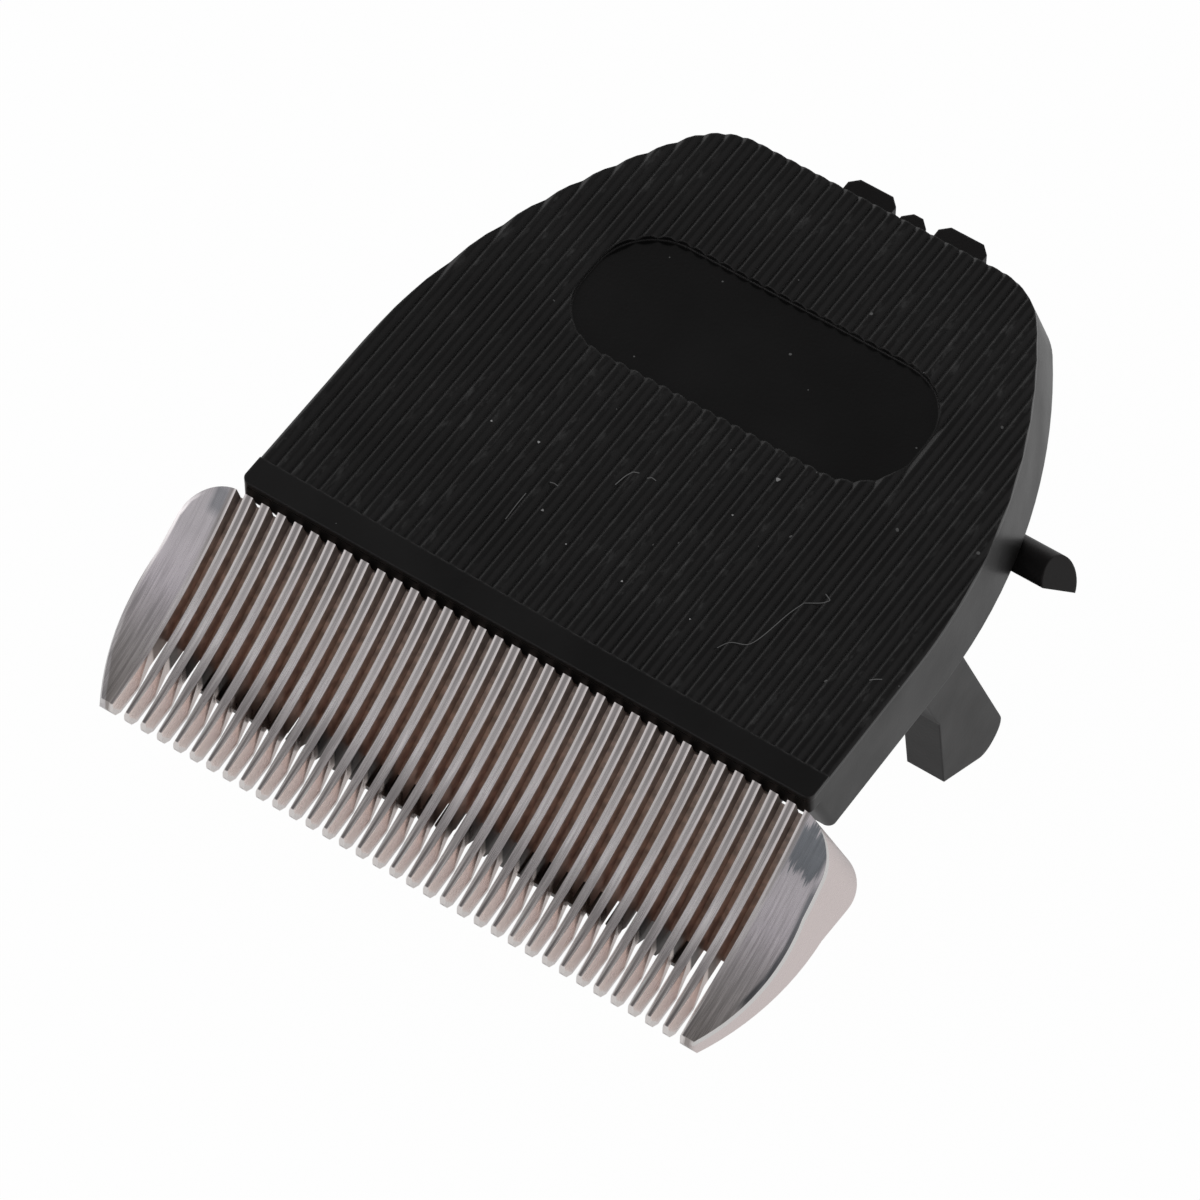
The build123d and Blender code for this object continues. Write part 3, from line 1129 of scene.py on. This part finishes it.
@dataclass
class Studio:
    """Pale floor, soft lamps, white surroundings and the camera."""

    azimuth_deg: float = 34.208
    elevation_deg: float = 55.304
    focal_px: float = 7000.0
    frame_px: float = 1200.0
    sensor_mm: float = 36.0
    aim_mm: Point = (4.433, 2.068, 391.774)
    floor_half: float = 3.0
    floor_level: float = -0.0002
    floor_shade: float = 0.86
    floor_rough: float = 0.9
    floor_seen: float = 0.985
    floor_mirrored: float = 0.35
    sky_lean: float = 0.25
    sky_heights: Range = (0.94, 0.15)
    sky_levels: Range = (0.2, 1.15)
    sky_light: float = 0.35
    lamp_size: float = 0.5
    lamps: tuple[Lamp, ...] = (
        Lamp("window", (-0.56, 0.36, 0.44), 0.2),
        Lamp("front", (-0.3, -0.6, 0.35), 0.5),
    )

    def camera(self) -> None:
        """Place the camera at the viewing angle.

        The camera's axes are right, up and back. Its place is right, up and back times
        aim_mm, moved from the drawing's zero to the frame's.
        """
        turn, lift = math.radians(self.azimuth_deg), math.radians(self.elevation_deg)
        flat = math.cos(lift)
        back = np.array([math.sin(turn) * flat, -math.cos(turn) * flat, math.sin(lift)])
        right = np.array([math.cos(turn), math.sin(turn), 0.0])
        axes = np.stack([right, np.cross(back, right), back], axis=1)
        spot = (axes @ np.array(self.aim_mm) + np.array(DRAWING_TO_FRAME_MM)) / MM_PER_M
        lens = bpy.data.cameras.new("camera")
        lens.sensor_width = self.sensor_mm
        lens.lens = self.focal_px / self.frame_px * self.sensor_mm
        camera = bpy.data.objects.new("camera", lens)
        camera.matrix_world = placed(axes, spot)
        bpy.context.scene.collection.objects.link(camera)
        bpy.context.scene.camera = camera

    def floor(self) -> None:
        """Lay the floor: a flat square, nearly white to the camera and dimmer in reflections."""
        mesh = bpy.data.meshes.new("floor")
        corners = np.array([[-1, -1], [1, -1], [1, 1], [-1, 1]]) * self.floor_half
        points = np.column_stack([corners, np.full(len(corners), self.floor_level)])
        mesh.from_pydata(points.tolist(), [], [(0, 1, 2, 3)])
        mesh.materials.append(self.floor_paper())
        floor = bpy.data.objects.new("floor", mesh)
        bpy.context.scene.collection.objects.link(floor)

    def floor_paper(self) -> bpy.types.Material:
        """Make the floor's material.

        Returns:
            The material.
        """
        made = bpy.data.materials.new("floor_paper")
        made.use_nodes = True
        tree = Tree(made.node_tree)
        bsdf = made.node_tree.nodes["Principled BSDF"]
        bsdf.inputs["Base Color"].default_value = grey(self.floor_shade)
        bsdf.inputs["Roughness"].default_value = self.floor_rough
        glow = tree.add("ShaderNodeEmission")
        path = tree.add("ShaderNodeLightPath")
        seen = tree.times(seen_directly(path, tree), self.floor_seen)
        mirrored = tree.times(path.outputs["Is Glossy Ray"], self.floor_mirrored)
        blend = tree.add("ShaderNodeMixShader")
        tree.join(tree.math("MAXIMUM", seen, mirrored), blend.inputs[0])
        tree.join(bsdf.outputs[0], blend.inputs[1])
        tree.join(glow.outputs[0], blend.inputs[2])
        tree.join(blend.outputs[0], made.node_tree.nodes["Material Output"].inputs["Surface"])
        return made

    def surroundings(self) -> None:
        """White to the camera, softer as a light, and darker overhead in reflections."""
        world = bpy.data.worlds.new("surroundings")
        world.use_nodes = True
        bpy.context.scene.world = world
        tree = Tree(world.node_tree)
        glow = world.node_tree.nodes["Background"]
        glow.inputs["Color"].default_value = grey(1.0)
        path = tree.add("ShaderNodeLightPath")
        mirrored = path.outputs["Is Glossy Ray"]
        way = tree.split(tree.object_place())
        height = tree.math("ADD", way["Z"], tree.times(way["Y"], self.sky_lean))
        sky = tree.between(tree.ramp(height, *self.sky_heights), *self.sky_levels)
        light = tree.times(tree.inverse(mirrored), self.sky_light)
        level = tree.math("MAXIMUM", seen_directly(path, tree), tree.times(mirrored, sky))
        tree.join(tree.math("MAXIMUM", level, light), glow.inputs["Strength"])

    def hang(self, lamp: Lamp) -> None:
        """Hang a lamp that points at the head.

        Its back is the line from the frame's zero, and its right is square to that and to Y.

        Args:
            lamp: The lamp.
        """
        data = bpy.data.lights.new(lamp.name, "AREA")
        data.size = self.lamp_size
        data.energy = lamp.watts
        hung = bpy.data.objects.new(lamp.name, data)
        spot = np.array(lamp.spot)
        back = spot / np.linalg.norm(spot)
        right = np.cross((0.0, 1.0, 0.0), back)
        right /= np.linalg.norm(right)
        hung.matrix_world = placed(np.stack([right, np.cross(back, right), back], axis=1), spot)
        bpy.context.scene.collection.objects.link(hung)

    def set_up(self) -> None:
        """Build the whole studio."""
        self.camera()
        self.floor()
        self.surroundings()
        for lamp in self.lamps:
            self.hang(lamp)
        bpy.context.scene.view_settings.view_transform = "Standard"


def main() -> None:
    """Dress the head and set up the studio."""
    logging.basicConfig(level=logging.INFO)
    effects = Effects()
    made: dict[Finish, bpy.types.Material] = {}
    for group in (Housing(), BladeSet()):
        group.dress(effects, made)
    Lint().lay(effects)
    Studio().set_up()


if __name__ == "__main__":
    main()
